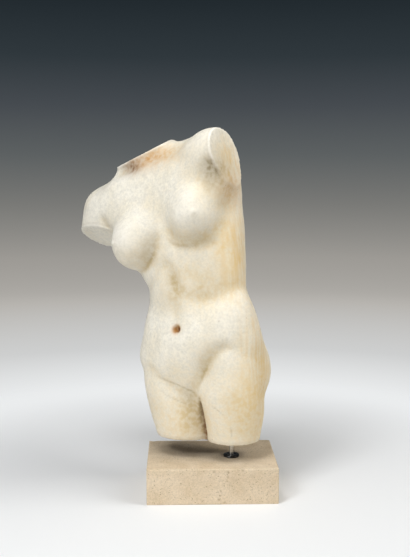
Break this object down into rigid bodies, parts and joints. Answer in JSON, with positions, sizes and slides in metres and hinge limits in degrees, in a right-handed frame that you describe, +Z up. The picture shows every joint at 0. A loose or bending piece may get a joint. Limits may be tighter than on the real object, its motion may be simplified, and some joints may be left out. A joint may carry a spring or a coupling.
{
  "type": "torso statuette",
  "caption": "Cast plaster torso of a classical female nude, without head or arms, standing on a steel rod over a rectangular stone block.",
  "frame": {"origin": "middle of the stone block's underside", "axes": "+Z up, -Y out of the block's long front face, +X along the block's front towards the viewer's right"},
  "size_m": [0.3299, 0.2687, 0.5952],
  "materials": {
    "waxed_plaster": "cast plaster with a warm wax patina, satin",
    "polished_steel": "bright turned steel",
    "black_steel": "black, semi-gloss",
    "limestone": "sawn and honed beige limestone with dark specks and small pits"
  },
  "bodies": {
    "root": {"torso": "waxed_plaster", "support_rod": "polished_steel", "rod_collar": "black_steel", "base_block": "limestone"}
  },
  "joints": []
}
